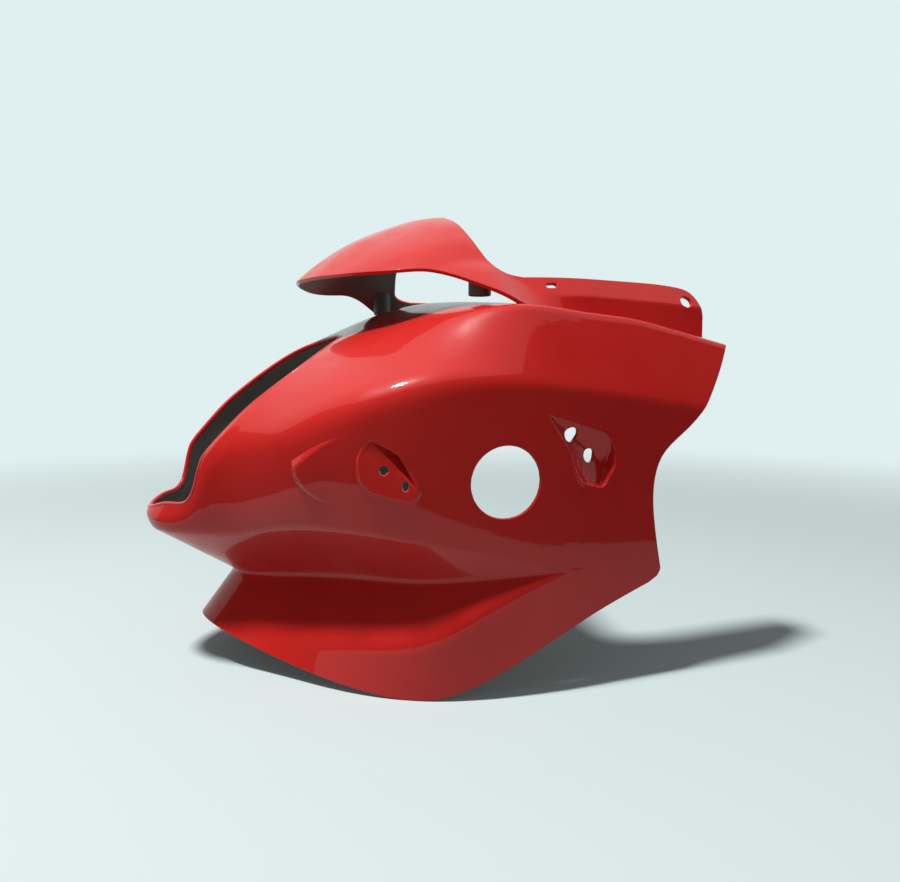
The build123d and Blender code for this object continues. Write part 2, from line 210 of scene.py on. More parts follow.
CAMERA_SPOT, CAMERA_TURN, CAMERA_TIP = (0.6, -0.2125, 0.0716), math.radians(21.836), math.radians(5.427)
FOCAL_PIXELS, PICTURE_PIXELS, SENSOR_WIDTH, CLIP_START = 800, 900, 36, 0.01


def clamped_spline(points, start=None, end=None, per_span=LINE_POINTS):
    """Dense points of a smooth curve through the given ones, with set end directions where given."""
    p = np.array(points, float)
    h = np.linalg.norm(np.diff(p, axis=0), axis=1)
    n = len(p)
    a = np.zeros((n, n))
    b = np.zeros_like(p)
    for i in range(1, n - 1):
        a[i, i - 1:i + 2] = (1 / h[i - 1], 2 / h[i - 1] + 2 / h[i], 1 / h[i])
        b[i] = 3 * ((p[i] - p[i - 1]) / h[i - 1] ** 2 + (p[i + 1] - p[i]) / h[i] ** 2)
    for row, near, direction, span in ((0, 1, start, h[0]), (n - 1, n - 2, end, h[-1])):
        if direction is None:
            a[row, row], a[row, near] = 2, 1
            b[row] = 3 * (p[max(row, near)] - p[min(row, near)]) / span
        else:
            a[row, row] = 1
            b[row] = np.array(direction, float) / np.linalg.norm(direction)
    m = np.linalg.solve(a, b)
    out = []
    for i in range(n - 1):
        t = np.linspace(0, 1, per_span, endpoint=False)[:, None]
        out.append((2 * t ** 3 - 3 * t ** 2 + 1) * p[i] + (t ** 3 - 2 * t ** 2 + t) * h[i] * m[i]
                   + (3 * t ** 2 - 2 * t ** 3) * p[i + 1] + (t ** 3 - t ** 2) * h[i] * m[i + 1])
    return np.vstack(out + [p[-1:]])


def feature(points, start):
    """A feature line: a smooth bend and then a straight run."""
    leaving = np.subtract(points[-1], points[-2])
    bend = clamped_spline(points[:-1], start, leaving)
    return np.vstack([bend, np.linspace(points[-2], points[-1], LINE_POINTS)[1:]])


def where_crossing(line, values):
    """Point of a dense line where the values along it first pass zero."""
    i = np.argmax((values[:-1] <= 0) & (values[1:] > 0))
    share = values[i] / (values[i] - values[i + 1])
    return line[i] + (line[i + 1] - line[i]) * share


def even_spline(table):
    """Second-derivative table for a smooth curve through rows that are one step apart."""
    n = len(table)
    a = np.eye(n)
    b = np.zeros_like(table)
    for i in range(1, n - 1):
        a[i, i - 1:i + 2] = (1, 4, 1)
        b[i] = 6 * (table[i + 1] - 2 * table[i] + table[i - 1])
    return np.linalg.solve(a, b.reshape(n, -1)).reshape(table.shape)


def along(table, curve, s):
    """Rows of the table at the steps s, on the smooth curve."""
    i = np.clip(np.floor(s).astype(int), 0, len(table) - 2)
    u = (s - i).reshape((-1,) + (1,) * (table.ndim - 1))
    v = 1 - u
    return (v * table[i] + u * table[i + 1]
            + (v ** 3 - v) * curve[i] / 6 + (u ** 3 - u) * curve[i + 1] / 6)


def unit_rows(vectors):
    """The vectors at unit length, with any that has no length left as it is."""
    return vectors / np.maximum(np.linalg.norm(vectors, axis=-1, keepdims=True), 1e-12)


class Skin:
    """A smooth skin: cross-sections with softened corners, joined along the feature lines.

    s counts the cross-sections from front to rear, t counts the corners from the outside to the middle."""

    def __init__(self, corners, soft_steps, soft, swell, first_step=0):
        self.table = np.array(corners, float)
        self.curve = even_spline(self.table)
        run = np.gradient(self.table, axis=0)
        out = unit_rows(np.cross((run[:, 1:] + run[:, :-1]) / 2, np.diff(self.table, axis=1)))
        places = np.arange(len(self.table)) - first_step
        height = np.array([np.interp(places, soft_steps, row) for row in swell.values()]).T
        self.swell = np.concatenate([out * height[:, :, None], np.zeros((len(out), 1, 3))], axis=1)
        self.swell_curve = even_spline(self.swell)
        self.soft_steps = np.array(soft_steps, float)
        self.soft = np.array(list(soft.values()), float)
        self.first = first_step
        self.last_t = self.table.shape[1] - 1
        self.dents = []

    def plain(self, s, t):
        """Points before any seat or pad is pressed in."""
        corner = along(self.table, self.curve, s + self.first)
        corner = np.concatenate([corner, corner[:, -2:-1] * MIRROR], axis=1)
        # The swell follows 4 v (1 - v), which is 1 in the middle of a panel.
        swell = along(self.swell, self.swell_curve, s + self.first) * 4
        swell[:, -1] = swell[:, -2] * MIRROR
        k = np.clip(np.floor(t + 0.5).astype(int), 0, self.last_t)
        rows = np.arange(len(s))
        here, after = corner[rows, k], corner[rows, k + 1]
        before = corner[rows, np.maximum(k - 1, 0)]
        length = np.array([np.interp(s, self.soft_steps, row) for row in self.soft]).T[rows, k]
        gap_before = np.maximum(np.linalg.norm(here - before, axis=1), 1e-6)
        gap_after = np.maximum(np.linalg.norm(after - here, axis=1), 1e-6)
        lead = np.where(k > 0, np.minimum(length / gap_before, CORNER_SHARE), 0.0)[:, None]
        trail = np.where(k > 0, np.minimum(length / gap_after, CORNER_SHARE), 0.0)[:, None]
        v = (t - k)[:, None]
        swell_before, swell_after = swell[rows, np.maximum(k - 1, 0)], swell[rows, k]

        def arriving(v):
            return here + (here - before) * v - swell_before * v * (1 + v)

        def leaving(v):
            return here + (after - here) * v + swell_after * v * (1 - v)

        start, stop = arriving(-lead), leaving(trail)
        pull_in = ((here - before) - swell_before * (1 - 2 * lead)) * lead * CORNER_PULL
        pull_out = ((after - here) + swell_after * (1 - 2 * trail)) * trail * CORNER_PULL
        u = np.clip((v + lead) / np.maximum(lead + trail, 1e-9), 0, 1)
        w = 1 - u
        bend = (w ** 5 * start + 5 * w ** 4 * u * (start + pull_in)
                + 10 * w ** 3 * u ** 2 * (start + 2 * pull_in) + 10 * w ** 2 * u ** 3 * (stop - 2 * pull_out)
                + 5 * w * u ** 4 * (stop - pull_out) + u ** 5 * stop)
        out = np.where(v < -lead, arriving(v), bend)
        return np.where(v > trail, leaving(v), out)

    def points(self, s, t):
        """Points with the seats and the pad pressed in."""
        p = self.plain(s, t)
        for dent in self.dents:
            p = dent(p)
        return p

    def normals(self, s, t, where=None):
        """Outward unit normals, from small steps along both directions."""
        where = where or self.points
        ds, dt = 0.01, 0.004
        low, high = np.maximum(t - dt, 0), np.minimum(t + dt, self.last_t)
        return unit_rows(np.cross(where(s + ds, t) - where(s - ds, t), where(s, high) - where(s, low)))


def turned_cut(line, turn):
    """Where a line meets the upright plane turned about the pivot."""
    a = math.radians(abs(turn))
    values = line[:, 0] * math.cos(a) + (line[:, 1] - PIVOT_Y) * math.sin(a)
    if turn == 0:
        values = np.append(-1e-9, values[1:])
    spot = where_crossing(line, values)
    return spot * MIRROR if turn < 0 else spot


def body_skin():
    """The shell's skin from its seven lines: turned about the nose, then cut square to the bike."""
    lines = [feature(points, LINES_START) for points in (SKIRT, LIP, VALLEY, CREASE, SHOULDER, UPPER)]
    crown = feature(CROWN, CROWN_START)
    corners = []
    for turn in TURNS:
        a = math.radians(turn)
        pole = (POLE_OUT * math.sin(a), PIVOT_Y - POLE_OUT * math.cos(a), POLE_HEIGHT)
        corners.append([turned_cut(line, turn) for line in lines] + [pole])
    for y in STATIONS:
        corners.append([where_crossing(line, line[:, 1] - y) for line in lines]
                       + [crown[0] if y == PIVOT_Y else where_crossing(crown, crown[:, 1] - y)])
    return Skin(corners, SOFT_STEPS, SOFT, SWELL, TURNS.index(0))


def bridge_skin():
    """The bridge's and arms' skin from its six lines."""
    lines = []
    for points in (FOOT, FOLD, EDGE, HAUNCH, BROW, RIDGE):
        lines.append(feature(points, np.subtract(points[1], points[0])))
    corners = [[where_crossing(line, line[:, 1] - y) for line in lines] for y in BRIDGE_STATIONS]
    return Skin(corners, BRIDGE_SOFT_STEPS, BRIDGE_SOFT, BRIDGE_SWELL)


def line_distance(points, line):
    """Distance of flat points to a line of straight stretches."""
    best = np.full(len(points), 1e9)
    for p0, p1 in zip(line, line[1:]):
        d = p1 - p0
        share = np.clip(((points - p0) @ d) / max(d @ d, 1e-12), 0, 1)
        best = np.minimum(best, np.linalg.norm(points - p0 - share[:, None] * d, axis=1))
    return best


def inside_polygon(points, outline):
    """Signed distance to a closed outline, positive inside it."""
    ring = np.asarray(outline, float)
    ring = np.vstack([ring, ring[:1]])
    inside = np.zeros(len(points), bool)
    for p0, p1 in zip(ring, ring[1:]):
        crosses = (p0[1] > points[:, 1]) != (p1[1] > points[:, 1])
        with np.errstate(divide="ignore", invalid="ignore"):
            at = p0[0] + (points[:, 1] - p0[1]) * (p1[0] - p0[0]) / (p1[1] - p0[1])
        inside ^= crosses & (points[:, 0] < at)
    distance = line_distance(points, ring)
    return np.where(inside, distance, -distance)


def axes_of(facing):
    """Unit directions across, up and out of a plane; across is the bike's rearward direction laid into it."""
    out = np.array(facing, float) / np.linalg.norm(facing)
    across = np.array([0, 1.0, 0]) - out * out[1]
    across /= np.linalg.norm(across)
    return across, np.cross(out, across), out


def in_frame(p, origin, facing):
    """Coordinates of points across, up and out of the plane through the origin."""
    return (p - np.array(origin, float)) @ np.stack(axes_of(facing), axis=1)


def soft_min(a, b, soft):
    """The lower of two heights, with a rounded change from one to the other."""
    h = np.clip(0.5 + 0.5 * (b - a) / soft, 0, 1)
    return b + (a - b) * h - soft * h * (1 - h)


def soft_max(a, b, soft):
    """The higher of two heights, with a rounded change from one to the other."""
    return -soft_min(-a, -b, soft)


def level(spots, a, b):
    """Height, at across a and up b, of the plane through three spots given with their depths."""
    rows = np.array([(x, y, 1) for x, y, _ in spots], float)
    k = np.linalg.solve(rows, [-d for _, _, d in spots])
    return k[0] * a + k[1] * b + k[2]


def rounded_outline(outline):
    """The outline with its corners cut round."""
    rounded = []
    for i, corner in enumerate(outline):
        tip = np.array(corner, float)
        ends = []
        for other in (outline[i - 1], outline[(i + 1) % len(outline)]):
            toward = np.array(other, float) - tip
            ends.append(tip + toward * min(SEAT_CORNER_SHARE, SEAT_CORNER / np.linalg.norm(toward)))
        for u in np.linspace(0, 1, SEAT_CORNER_POINTS):
            rounded.append((1 - u) ** 2 * ends[0] + 2 * u * (1 - u) * tip + u ** 2 * ends[1])
    return rounded


def seat_dent(seat):
    """Presses a screw seat into the points that lie in its outline and raises its proud side."""
    out = axes_of(seat["facing"])[2]
    outline = rounded_outline(seat["outline"])
    meet = soft_min if seat["flank_sinks"] else soft_max

    def dent(p):
        q = in_frame(p, seat["middle"], seat["facing"])
        near = (np.abs(q) < SEAT_BOX).all(axis=1)
        if not near.any():
            return p
        a, b, h = q[near].T
        inside = inside_polygon(q[near, :2], outline)
        floor_at = level(seat["floor"], a, b)
        sunk = meet(floor_at, level(seat["flank"], a, b), SEAT_SOFT)
        drop = soft_max(h - sunk, np.zeros_like(h), SEAT_SOFT)
        drop = soft_min(drop, np.maximum(inside, 0) * SEAT_WALL_SLOPE, SEAT_SOFT)
        drop = np.where(inside > 0, np.maximum(drop, 0), 0)
        rise = np.maximum(floor_at - h, 0)
        rise = soft_min(rise, np.maximum(inside + SEAT_LEDGE, 0) * SEAT_LEDGE_SLOPE, SEAT_SOFT)
        rise = np.where(inside > -SEAT_LEDGE, np.maximum(rise, 0), 0)
        moved = p.copy()
        moved[near] += out * (rise - drop)[:, None]
        return moved
    return dent


def pad_dent(p):
    """Raises the low pad: a wide upper edge, a narrow lower edge, and no edge where it runs out."""
    q = in_frame(p, PAD_MIDDLE, PAD_FACING)
    near = (np.abs(q) < PAD_BOX).all(axis=1)
    if not near.any():
        return p
    upper, lower = [clamped_spline(line, per_span=PAD_LINE_POINTS) for line in (PAD_UPPER, PAD_LOWER)]
    flat = q[near, :2]
    inside = inside_polygon(flat, np.vstack([upper, lower[1:]])) > 0
    run_out = np.clip((flat[:, 0] - PAD_UPPER[-1][0]) / PAD_RUN_OUT, 0, 1)
    rise = PAD_RISE * (1 - run_out ** 2 * (3 - 2 * run_out))
    rise = soft_min(rise, line_distance(flat, upper) * PAD_UPPER_SLOPE, PAD_SOFT)
    rise = soft_min(rise, line_distance(flat, lower) * PAD_LOWER_SLOPE, PAD_SOFT)
    moved = p.copy()
    moved[near] += axes_of(PAD_FACING)[2] * np.where(inside, np.maximum(rise, 0), 0)[:, None]
    return moved


def seat_holes(seat):
    """Round and long holes on a seat's floor."""
    across, up, out = axes_of(seat["facing"])
    corners = [np.array(seat["middle"]) + across * a + up * b - out * d for a, b, d in seat["floor"]]
    floor_out = np.cross(corners[1] - corners[0], corners[2] - corners[0])
    floor_out *= np.sign(floor_out @ out) / np.linalg.norm(floor_out)
    origin = np.array(seat["middle"]) + out * ((corners[0] - seat["middle"]) @ floor_out / (out @ floor_out))

    def keep(p):
        q = in_frame(p, origin, floor_out)
        best = np.full(len(p), CLEAR)
        for a, b, radius, straight in seat["holes"]:
            over = np.maximum(np.abs(q[:, 1] - b) - straight / 2, 0)
            best = np.minimum(best, np.hypot(q[:, 0] - a, over) - radius)
        return np.where((np.abs(q[:, 2]) < SEAT_HOLE_REACH) & (p[:, 0] > SIDE_START), best, CLEAR)
    return keep


def body_edges(p):
    """Lower and rear edge of the body in side view."""
    side = np.vstack([clamped_spline(LOWER_EDGE), clamped_spline(REAR_EDGE), OUTER_CORNERS])
    return inside_polygon(p[:, 1:], side)


def lamp_opening(p):
    """Headlight opening, cut square to the slope of the nose."""
    up = np.array([0, math.cos(SLOPE), math.sin(SLOPE)])
    out = np.array([0, -math.sin(SLOPE), math.cos(SLOPE)])
    half = clamped_spline(OPENING, (1, 0), (-1, 0))
    outline = np.vstack([half, half[1:-1][::-1] * MIRROR[:2]])
    d = p - np.array(LIP_MIDDLE, float)
    outside = -inside_polygon(np.stack([p[:, 0], d @ up], axis=1), outline)
    return np.where(d @ out > -OPENING_DEPTH, outside, CLEAR)


def deck_cut(p):
    """Open deck between the arms, with round front corners."""
    aside = np.abs(p[:, 0]) - (DECK_HALF_WIDTH - DECK_CORNER)
    ahead = DECK_FRONT + DECK_CORNER - p[:, 1]
    q = np.stack([aside, ahead], axis=1)
    outside = np.linalg.norm(np.maximum(q, 0), axis=1) + np.minimum(q.max(axis=1), 0) - DECK_CORNER
    return np.where(p[:, 2] > DECK_FLOOR, outside, CLEAR)


def side_hole(p):
    """Round hole in the side."""
    q = in_frame(p, SIDE_HOLE_MIDDLE, SIDE_HOLE_FACING)
    return np.where(p[:, 0] > SIDE_START, np.hypot(q[:, 0], q[:, 1]) - SIDE_HOLE_RADIUS, CLEAR)


def bridge_edges(p):
    """Edges of the bridge and the arm in side view."""
    visor, arm, rear = [clamped_spline(line) for line in (VISOR_EDGE, ARM_END, BRIDGE_REAR)]
    side = np.vstack([visor, ARM_UNDER[::-1], arm[::-1], rear[1:], BRIDGE_OUTER])
    return inside_polygon(p[:, 1:], side)


def arm_hole(p):
    """Round hole near the end of the arm."""
    q = in_frame(p, ARM_HOLE, (math.cos(ARM_HOLE_TILT), 0, math.sin(ARM_HOLE_TILT)))
    return np.where(np.abs(q[:, 2]) < ARM_CUT_REACH, np.hypot(q[:, 0], q[:, 1]) - ARM_HOLE_RADIUS, CLEAR)


def arm_slot(p):
    """Short slot near the root of the arm."""
    q = in_frame(p, ARM_SLOT, (math.cos(ARM_SLOT_TILT), 0, math.sin(ARM_SLOT_TILT)))
    long, wide = ARM_SLOT_SIZE
    over = np.maximum(np.abs(q[:, 0]) - (long - wide) / 2, 0)
    return np.where(np.abs(q[:, 2]) < ARM_CUT_REACH, np.hypot(over, q[:, 1]) - wide / 2, CLEAR)


def used_points(faces, count):
    """Numbers of the points that the faces use, and the faces numbered by those alone."""
    used = np.unique(np.concatenate([np.array(face) for face in faces]))
    new = np.full(count, -1)
    new[used] = np.arange(len(used))
    return used, [[int(new[i]) for i in face] for face in faces]


def open_edges(faces):
    """Edges that belong to one face only, in the order and direction in which the faces have them."""
    edges = {edge: True for face in faces for edge in zip(face, face[1:] + face[:1])}
    return [(a, b) for a, b in edges if (b, a) not in edges]


def marks(stretches):
    """Marks along a direction, from its stretches."""
    runs = [np.linspace(a, b, parts, endpoint=False) for a, b, parts in stretches]
    return np.concatenate(runs + [[stretches[-1][1]]])


class Net:
    """A net of polygons laid out on a skin's s and t, cut to shape before it gets its thickness."""

    def __init__(self, skin, s_marks, t_marks, fine=None):
        self.skin = skin
        parts = FINE_PARTS
        rows, cols = len(s_marks) - 1, len(t_marks) - 1
        split = np.zeros((rows + 2, cols + 2), bool)
        if fine:
            middles = [(line[1:] + line[:-1]) / 2 for line in (s_marks, t_marks)]
            s, t = np.meshgrid(*middles, indexing="ij")
            split[1:-1, 1:-1] = fine(skin.plain(s.ravel(), t.ravel())).reshape(rows, cols)
        places, self.faces = {}, []

        def corner(i, j):
            return places.setdefault((i, j), len(places))

        for i in range(rows):
            for j in range(cols):
                low_i, low_j = i * parts, j * parts
                if split[i + 1, j + 1]:
                    for k in range(low_i, low_i + parts):
                        for m in range(low_j, low_j + parts):
                            ring = ((k, m), (k + 1, m), (k + 1, m + 1), (k, m + 1))
                            self.faces.append([corner(*spot) for spot in ring])
                    continue
                step_s = [1 if split[i + 1, j + side] else parts for side in (0, 2)]
                step_t = [1 if split[i + side, j + 1] else parts for side in (2, 0)]
                face = [corner(k, low_j) for k in range(low_i, low_i + parts, step_s[0])]
                face += [corner(low_i + parts, m) for m in range(low_j, low_j + parts, step_t[0])]
                face += [corner(k, low_j + parts) for k in range(low_i + parts, low_i, -step_s[1])]
                face += [corner(low_i, m) for m in range(low_j + parts, low_j, -step_t[1])]
                self.faces.append(face)
        spots = np.array(list(places), float) / parts
        self.s = np.interp(spots[:, 0], np.arange(rows + 1), s_marks)
        self.t = np.interp(spots[:, 1], np.arange(cols + 1), t_marks)

    def cut(self, keep):
        """Keeps the part of the net where keep(points) is positive."""
        value = keep(self.skin.points(self.s, self.t))
        value = np.where(np.abs(value) < HAIR, HAIR, value)
        crossing = {}
        kept = []
        for face in self.faces:
            signs = value[face] > 0
            if signs.all():
                kept.append(face)
                continue
            if not signs.any():
                continue
            out = []
            for a, b in zip(face, face[1:] + face[:1]):
                if value[a] > 0:
                    out.append(a)
                if (value[a] > 0) != (value[b] > 0):
                    key = (min(a, b), max(a, b))
                    out.append(crossing.setdefault(key, len(self.s) + len(crossing)))
            kept.append(out)
        self.faces = kept
        if not crossing:
            return
        pairs = np.array(list(crossing))
        first_kept = value[pairs[:, 0]] > 0
        inner = np.where(first_kept, pairs[:, 0], pairs[:, 1])
        outer = np.where(first_kept, pairs[:, 1], pairs[:, 0])
        low, high = np.zeros(len(pairs)), np.ones(len(pairs))

        def between(share):
            return [line[inner] + (line[outer] - line[inner]) * share for line in (self.s, self.t)]

        for _ in range(CUT_ROUNDS):
            mid = (low + high) / 2
            good = keep(self.skin.points(*between(mid))) > 0
            low, high = np.where(good, mid, low), np.where(good, high, mid)
        new_s, new_t = between(low)
        self.s, self.t = np.append(self.s, new_s), np.append(self.t, new_t)

    def drop_unused(self):
        """Drops the points that no face uses."""
        used, self.faces = used_points(self.faces, len(self.s))
        self.s, self.t = self.s[used], self.t[used]


def moulded(net):
    """Points, normals, faces and kinds of face of a net that is given its wall with rounded rims."""
    net.drop_unused()
    skin = net.skin
    p = skin.points(net.s, net.t)
    p[np.abs(p[:, 0]) < HAIR, 0] = 0
    seam = p[:, 0] == 0
    n = skin.normals(net.s, net.t)
    base = skin.normals(net.s, net.t, skin.plain)
    n[seam, 0] = 0
    base[seam, 0] = 0
    n, base = unit_rows(n), unit_rows(base)
    count = len(p)
    points = [p, p - base * WALL]
    normals = [n, -base]
    faces = [list(face) for face in net.faces]
    faces += [[i + count for i in reversed(face)] for face in net.faces]
    kinds = [OUTSIDE] * len(net.faces) + [INSIDE] * len(net.faces)
    edges = [(a, b) for a, b in open_edges(net.faces) if not (seam[a] and seam[b])]
    following = dict(edges)
    preceding = {b: a for a, b in edges}
    ring = sorted(set(following) | set(preceding))
    order = {v: i for i, v in enumerate(ring)}
    ring = np.array(ring)
    ahead = np.array([following.get(v, v) for v in ring])
    behind = np.array([preceding.get(v, v) for v in ring])
    off = np.cross(p[ahead] - p[behind], n[ring])
    off[seam[ring], 0] = 0
    off = unit_rows(off)
    quarter = [(RIM_ROUND * math.sin(a), RIM_ROUND * (1 - math.cos(a)), a) for a in np.radians(RIM_TURNS)]
    profile = quarter + [(x, WALL - y, math.pi - a) for x, y, a in reversed(quarter)]
    for x, y, a in profile:
        points.append(p[ring] + off * x - base[ring] * y)
        normals.append(base[ring] * math.cos(a) + off * math.sin(a))
    first, size = count * 2, len(ring)
    for a, b in edges:
        i, j = order[a], order[b]
        levels = [(first + k * size + i, first + k * size + j) for k in range(len(profile))]
        levels[0], levels[-1] = (a, b), (a + count, b + count)
        for (low_a, low_b), (high_a, high_b) in zip(levels, levels[1:]):
            faces.append([low_b, low_a, high_a, high_b])
            kinds.append(RIM)
    return np.vstack(points), np.vstack(normals), faces, kinds


def with_mirror(points, normals, faces, kinds):
    """The left half and its mirror image, sharing the points on the centre plane."""
    middle = np.abs(points[:, 0]) < HAIR
    number = np.arange(len(points)) + len(points)
    number[middle] = np.flatnonzero(middle)
    other = [[int(number[i]) for i in reversed(face)] for face in faces]
    points, normals = [np.vstack([half, half * MIRROR]) for half in (points, normals)]
    return points, normals, faces + other, kinds + kinds


def placed(name, data):
    """A new object in the scene, at the origin."""
    obj = bpy.data.objects.new(name, data)
    bpy.context.scene.collection.objects.link(obj)
    return obj


def as_object(name, shells, outside, inside):
    """One smooth mesh object from several shells, with one finish outside and on the rims, and one inside."""
    points, normals, faces, kinds = [], [], [], []
    start = 0
    for p, n, f, k in shells:
        points.append(p)
        normals.append(n)
        faces += [[i + start for i in face] for face in f]
        kinds += k
        start += len(p)
    used, faces = used_points(faces, start)
    mesh = bpy.data.meshes.new(name)
    mesh.from_pydata((np.vstack(points)[used] * MM).tolist(), [], faces)
    mesh.polygons.foreach_set("use_smooth", np.ones(len(faces), bool))
    mesh.polygons.foreach_set("material_index", (np.array(kinds) == INSIDE).astype(np.int32))
    mesh.materials.append(outside)
    mesh.materials.append(inside)
    mesh.normals_split_custom_set_from_vertices(np.vstack(normals)[used].tolist())
    mesh.update()
    return placed(name, mesh)


def opening_edge(net):
    """Middle of the wall along the edge of the lamp opening, once round from the lip of the nose."""
    p = net.skin.points(net.s, net.t)
    on_edge = np.abs(lamp_opening(p)) < OPENING_EDGE_NEAR
    following = {a: b for a, b in open_edges(net.faces) if on_edge[a] and on_edge[b]}
    place = next(a for a in following if a not in following.values())
    run = [place]
    while place in following:
        place = following[place]
        run.append(place)
    middle = p[run] - net.skin.normals(net.s[run], net.t[run], net.skin.plain) * WALL / 2
    middle[[0, -1], 0] = 0
    return np.vstack([middle, middle[1:-1][::-1] * MIRROR])


def rolled_edge(path, paint):
    """A round bead swept along the edge of the lamp opening."""
    mesh = bpy.data.meshes.new("rolled_edge")
    count = len(path)
    mesh.from_pydata((path * MM).tolist(), [(i, (i + 1) % count) for i in range(count)], [])
    obj = placed("rolled_edge", mesh)
    tree = bpy.data.node_groups.new("bead_along_edge", "GeometryNodeTree")
    tree.interface.new_socket("Edge", in_out="INPUT", socket_type="NodeSocketGeometry")
    radius = tree.interface.new_socket("Bead radius", in_out="INPUT", socket_type="NodeSocketFloat")
    sides = tree.interface.new_socket("Sides", in_out="INPUT", socket_type="NodeSocketInt")
    spacing = tree.interface.new_socket("Spacing", in_out="INPUT", socket_type="NodeSocketFloat")
    tree.interface.new_socket("Bead", in_out="OUTPUT", socket_type="NodeSocketGeometry")
    nodes, links = tree.nodes, tree.links
    taken = nodes.new("NodeGroupInput")
    given = nodes.new("NodeGroupOutput")
    curve = nodes.new("GeometryNodeMeshToCurve")
    even = nodes.new("GeometryNodeResampleCurve")
    even.mode = "LENGTH"
    ring = nodes.new("GeometryNodeCurvePrimitiveCircle")
    sweep = nodes.new("GeometryNodeCurveToMesh")
    smooth = nodes.new("GeometryNodeSetShadeSmooth")
    real = nodes.new("GeometryNodeRealizeInstances")
    coat = nodes.new("GeometryNodeSetMaterial")
    coat.inputs["Material"].default_value = paint
    links.new(taken.outputs["Edge"], curve.inputs["Mesh"])
    links.new(curve.outputs["Curve"], even.inputs["Curve"])
    links.new(taken.outputs["Spacing"], even.inputs["Length"])
    links.new(taken.outputs["Bead radius"], ring.inputs["Radius"])
    links.new(taken.outputs["Sides"], ring.inputs["Resolution"])
    links.new(even.outputs["Curve"], sweep.inputs["Curve"])
    links.new(ring.outputs["Curve"], sweep.inputs["Profile Curve"])
    links.new(sweep.outputs["Mesh"], smooth.inputs["Geometry"])
    links.new(smooth.outputs["Geometry"], real.inputs["Geometry"])
    links.new(real.outputs["Geometry"], coat.inputs["Geometry"])
    links.new(coat.outputs["Geometry"], given.inputs["Bead"])
    modifier = obj.modifiers.new("bead", "NODES")
    modifier.node_group = tree
    modifier[radius.identifier] = BEAD_RADIUS * MM
    modifier[sides.identifier] = BEAD_SIDES
    modifier[spacing.identifier] = BEAD_SPACING * MM
    made = bpy.data.meshes.new_from_object(obj.evaluated_get(bpy.context.evaluated_depsgraph_get()))
    obj.modifiers.clear()
    obj.data = made
    return obj


def boss():
    """Points, normals, faces and kinds of face of the closed boss under the bridge."""
    pilot_end = BOSS_END + PILOT_DEPTH
    bend = BOSS_EDGE * BOSS_EDGE_BEND
    # Each ring: its radius, its height, and how far its normal points out and up. The last ends on the root.
    rings = [(PILOT_MIDDLE, pilot_end, 0, -1), (PILOT_RADIUS, pilot_end, 0, -1),
             (PILOT_RADIUS, pilot_end, -1, 0), (PILOT_RADIUS, BOSS_END + PILOT_EDGE, -1, 0),
             (PILOT_RADIUS + PILOT_EDGE, BOSS_END, 0, -1), (BOSS_RADIUS - BOSS_EDGE, BOSS_END, 0, -1),
             (BOSS_RADIUS - bend, BOSS_END + bend, 0.7, -0.7), (BOSS_RADIUS, BOSS_END + BOSS_EDGE, 1, 0),
             (BOSS_RADIUS, None, 1, 0)]
    turns = np.radians(np.arange(0, 360, BOSS_STEP))
    points, normals, faces = [], [], []
    for radius, height, out, up in rings:
        for turn in turns:
            x, y = BOSS_SPOT[0] + radius * math.cos(turn), BOSS_SPOT[1] + radius * math.sin(turn)
            z = height
            if height is None:
                slant = (x - BOSS_ROOT[0]) * BOSS_LEAN[0] + (y - BOSS_ROOT[1]) * BOSS_LEAN[1]
                z = BOSS_ROOT[2] - slant / BOSS_LEAN[2]
            points.append((x, y, z))
            normals.append((out * math.cos(turn), out * math.sin(turn), up))
    count = len(turns)
    for k in range(len(rings) - 1):
        for i in range(count):
            j = (i + 1) % count
            faces.append([k * count + i, k * count + j, (k + 1) * count + j, (k + 1) * count + i])
    faces.append(list(range(count))[::-1])
    faces.append(list(range(len(points) - count, len(points))))
    return np.array(points), np.array(normals, float), faces, [INSIDE] * len(faces)


def material(name):
    """A new material with an empty tree."""
    made = bpy.data.materials.new(name)
    made.use_nodes = True
    made.node_tree.nodes.clear()
    return made, made.node_tree.nodes, made.node_tree.links


def set_node(nodes, kind, values):
    """A new node with values set on its sockets."""
    made = nodes.new(kind)
    for socket, value in values.items():
        made.inputs[socket].default_value = value
    return made


def two_tones(nodes, tones):
    """A ramp from a darker to a paler tone."""
    ramp = nodes.new("ShaderNodeValToRGB")
    for element, value, tone in zip(ramp.color_ramp.elements, TONE_VALUES, tones):
        element.position = value
        element.color = tone
    return ramp


